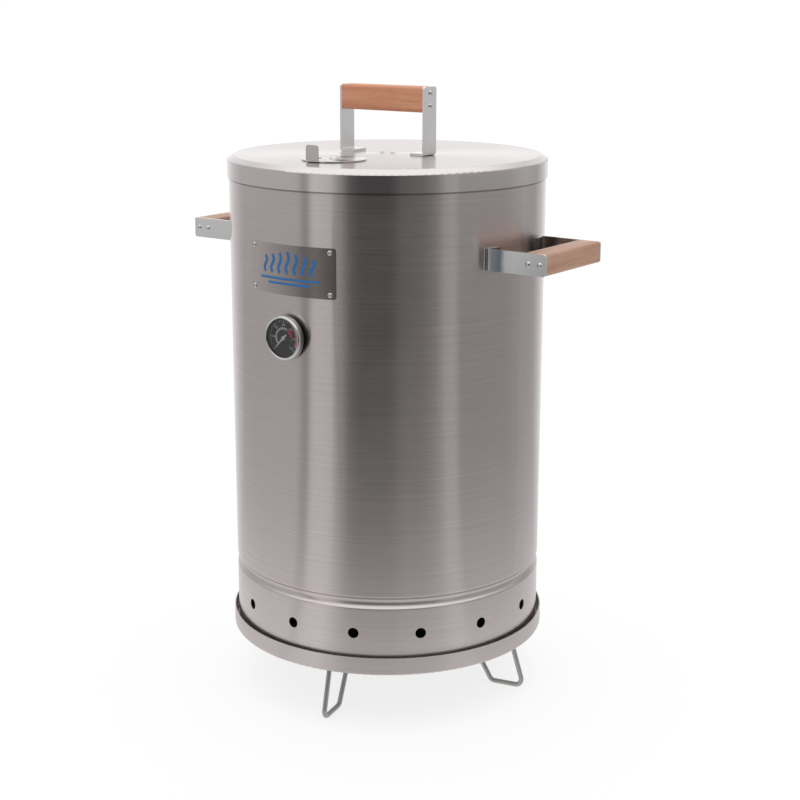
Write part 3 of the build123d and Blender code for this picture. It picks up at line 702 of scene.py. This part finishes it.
def on_dial(angle, radius, lift):
    """A place in front of the dial's face by lift; 0 degrees is to the right and 90 is up."""
    turn = radians(angle)
    return dial_axis + Vector((cos(turn) * radius, dial_front - lift, sin(turn) * radius))


def arc_band(name, inner, outer, start, end, lift, finish):
    """A thin printed arc between two radii in millimetres, clockwise from start to end."""
    first, last = on_dial(start, inner * MM, lift), on_dial(start, outer * MM, lift)
    piece = single_point(first)
    bpy.ops.mesh.extrude_region_move(TRANSFORM_OT_translate={"value": last - first})
    bpy.ops.mesh.select_all(action="SELECT")
    steps = max(4, int((start - end) / 5))      # one about every 5 degrees
    bpy.ops.mesh.spin(
        steps=steps, angle=radians(start - end), center=dial_axis, axis=FRONT
    )
    bpy.ops.mesh.select_all(action="SELECT")
    bpy.ops.mesh.normals_make_consistent(inside=False)
    bpy.ops.object.mode_set(mode="OBJECT")
    apply_modifier(piece, "SOLIDIFY", thickness=0.08 * MM, offset=0)
    return done(piece, name, "barrel", "dial_face", finish)


def ticks():
    """Graduations along the dial's rim, a long one at every fifth."""
    spaces = 30
    outer = 20.6
    long_mark, short_mark = (17.4, 0.75), (18.6, 0.4)       # inner radius and width
    marks = []
    for i in range(spaces + 1):
        angle = SCALE_START - i * SCALE_SWEEP / spaces
        inner, wide = long_mark if i % 5 == 0 else short_mark
        marks.append(block(
            on_dial(angle, (inner + outer) / 2 * MM, PRESS),
            ((outer - inner) * MM, 0.08 * MM, wide * MM),
            (0, -radians(angle), 0),
        ))
    return done(join_all(marks), "dial_graduations", "barrel", "dial_face", white_print)


def numbers():
    """Figures of a plain temperature scale, from 50 to 350."""
    count = 7
    figures = []
    for i in range(count):
        bpy.ops.object.select_all(action="DESELECT")
        bpy.ops.object.text_add(rotation=(pi / 2, 0, 0))
        figure = bpy.context.object
        figure.data.body = str(50 + 50 * i)
        figure.data.size = 3.4 * MM
        figure.data.align_x = "CENTER"
        figure.data.align_y = "CENTER"
        figure.data.extrude = 0.04 * MM
        figure.data.resolution_u = 3
        bpy.ops.object.convert(target="MESH")
        figure = bpy.context.object
        angle = SCALE_START - i * SCALE_SWEEP / (count - 1)
        figure.location = on_dial(angle, 15.2 * MM, PRESS)
        figures.append(settle(figure))
    return done(join_all(figures), "dial_figures", "barrel", "dial_face", white_print, smooth=20)


bezel()
lens()
ticks()
numbers()
arc_band("dial_arc_grey", 9.9, 12.3, 232, 66, PRESS, grey_print)
arc_band("dial_arc_red", 9.2, 13.4, 62, 8, PRESS, red_print)
arc_band("dial_arc_rose", 17.2, 20.8, 36, -30, 0, rose_print)
arc_band("dial_arc_green", 10.4, 12.2, 4, -52, PRESS, green_print)

# ------------------------------------------------------------------ weld beads

def weld(start, end, radius):
    """A bead from start to end with six ripples, thickest in the middle."""
    ripples = 6
    ripple = ((0.12, 0.86), (0.5, 1.0), (0.88, 0.84))       # share of its length, of its radius
    length = (end - start).length
    axis = (end - start).normalized()
    outline = [(0, 0)]
    for i in range(ripples):
        swell = radius * (1.0 - 0.25 * abs(i - (ripples - 1) / 2) / ripples)
        outline += [(swell * wide, length * (i + share) / ripples) for share, wide in ripple]
    outline.append((0, length))
    return lathe(outline, start, axis, axis.orthogonal().normalized(), 12)


def leg_welds():
    """Beads that hold the ends of every wire leg to the pan's underside."""
    outer_end, inner_end = mm((149, 166), (71, 88))     # from the pan's middle
    bead, beside, below = 1.5 * MM, 2.7 * MM, 0.9 * MM
    beads = []
    for place in ("front", "right", "rear", "left"):
        low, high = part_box(f"{place}_leg")
        out = ((low + high) / 2 * Vector((1, 1, 0))).normalized()
        side = Vector((-out.y, out.x, 0))
        for near, far in (outer_end, inner_end):
            for hand in (-1, 1):
                shift = side * hand * beside + Vector((0, 0, pan_underside - below))
                beads.append(weld(out * near + shift, out * far + shift, bead))
    return done(join_all(beads), "leg_weld_beads", "base", "leg_wire", weld_finish, smooth=60)


leg_welds()

# ------------------------------------------------------------------ studio

VIEW_TURN = radians(36.2)     # the camera's bearing from the front, towards the right handle


def bearing(x, y):
    """Angle of a direction from the camera's bearing, as 0 to 1 with the camera at 0.5."""
    across = x * cos(VIEW_TURN) + y * sin(VIEW_TURN)
    ahead = x * sin(VIEW_TURN) - y * cos(VIEW_TURN)
    return Sock.maths("ARCTAN2", across, ahead) / (2 * pi) + 0.5


def round_about(turn, levels):
    """Brightness read from (degrees from the camera's bearing, level) pairs."""
    return ramp(turn, *[(angle / 360 + 0.5, level) for angle, level in levels])


def panels(turn):
    """Brightness of the studio's soft boxes and dark gaps, all the way round."""
    return round_about(turn, (
        (-180, 1.02), (-155, 0.85), (-125, 0.44), (-64, 0.43), (-61, 0.24), (-57, 0.24),
        (-54, 0.60), (-40, 0.57), (-34, 0.32), (-26, 0.08), (-18, 0.03), (2, 0.03),
        (10, 0.10), (24, 0.13), (34, 0.22), (41, 0.40), (48, 0.40), (51, 0.235),
        (92, 0.26), (112, 0.36), (130, 0.42), (155, 0.85), (180, 1.02),
    ))


def far_lift(turn):
    """Extra light that only the farther halves of the two side soft boxes have."""
    return round_about(turn, (
        (-140, 0.0), (-120, 0.11), (-54, 0.11), (-44, 0.0),
        (44, 0.0), (54, 0.18), (112, 0.18), (130, 0.0),
    ))


def emission(brightness):
    return Sock.node("ShaderNodeEmission", {}, {"Color": brightness, "Strength": 1.0})


def mix_shaders(share, first, second):
    return Sock.node("ShaderNodeMixShader", {}, {0: share, 1: first, 2: second})


def ray_is(kind):
    return Sock.node("ShaderNodeLightPath", out=f"Is {kind} Ray")


def studio_floor():
    """Pale floor; bright metal mirrors the soft boxes' light on it, further out."""
    self_lit = 0.78             # share of the floor's look that no shadow darkens
    near_white = 0.72           # how far the floor near the object is mirrored as white
    bpy.ops.object.select_all(action="DESELECT")
    bpy.ops.mesh.primitive_circle_add(vertices=96, radius=300.0, fill_type="NGON")
    floor = bpy.context.object
    floor.name = "studio_floor"
    material, shader = start_material("floor_pale")
    shader.inputs["Base Color"].default_value = colour(0.93, 0.93, 0.93)
    shader.inputs["Roughness"].default_value = 0.9
    shader.inputs["Specular IOR Level"].default_value = 0.0
    x, y = split(object_place())[:2]
    reach = Sock.maths("SQRT", x * x + y * y)
    near = 1.0 - ramp(reach / 4.0, (0.06, 0.0), (0.12, 0.30), (0.24, 0.78), (0.6, 1.0))
    far = ramp(reach / 12.0, (0.22, 0.0), (0.55, 1.0))
    turn = bearing(x, y)
    white = near * near_white
    mirrored = panels(turn) * (1.0 - white) + white + far_lift(turn) * far
    lit = mix_shaders(self_lit, Sock(shader.outputs[0]), emission(colour(1, 1, 1)))
    seen = mix_shaders(ray_is("Glossy"), lit, emission(mirrored))
    Sock.feed(material.node_tree.nodes["Material Output"].inputs["Surface"], seen)
    floor.data.materials.append(material)


def studio_light():
    """Soft light from all round, brightest overhead, before a plain white background."""
    overhead_glow, less_when_mirrored = 1.7, 0.48
    world = bpy.data.worlds.new("studio_world")
    bpy.context.scene.world = world
    world.use_nodes = True
    Sock.tree = world.node_tree
    x, y, z = split(Sock.node("ShaderNodeTexCoord", out="Generated"))
    overhead = ramp(z, (0.50, 0.0), (0.80, 1.0))
    fill = ramp(z, (0.10, 0.0), (0.22, 0.30))
    turn = bearing(x, y)
    side_light = Sock.maths("MAXIMUM", panels(turn) + far_lift(turn), fill)
    overhead_light = overhead_glow - ray_is("Glossy") * less_when_mirrored
    sky = side_light * (1.0 - overhead) + overhead * overhead_light
    straight = ray_is("Camera")
    background = world.node_tree.nodes["Background"]
    Sock.feed(background.inputs["Color"], sky * (1.0 - straight) + straight)
    background.inputs["Strength"].default_value = 1.0


def camera():
    """The viewpoint: a little above the lid, turned towards the right-hand handle."""
    distance, height = 1.9426, 0.8548       # from the barrel's axis, above the floor
    pitch = radians(14.35)
    data = bpy.data.cameras.new("camera")
    data.sensor_width = 36.0
    data.lens = 71.43
    data.shift_x = 0.015625
    view = bpy.data.objects.new("camera", data)
    bpy.context.scene.collection.objects.link(view)
    view.location = (sin(VIEW_TURN) * distance, -cos(VIEW_TURN) * distance, height)
    view.rotation_euler = (pi / 2 - pitch, 0, VIEW_TURN)
    bpy.context.scene.camera = view


studio_floor()
studio_light()
camera()
bpy.context.scene.view_settings.view_transform = "Standard"
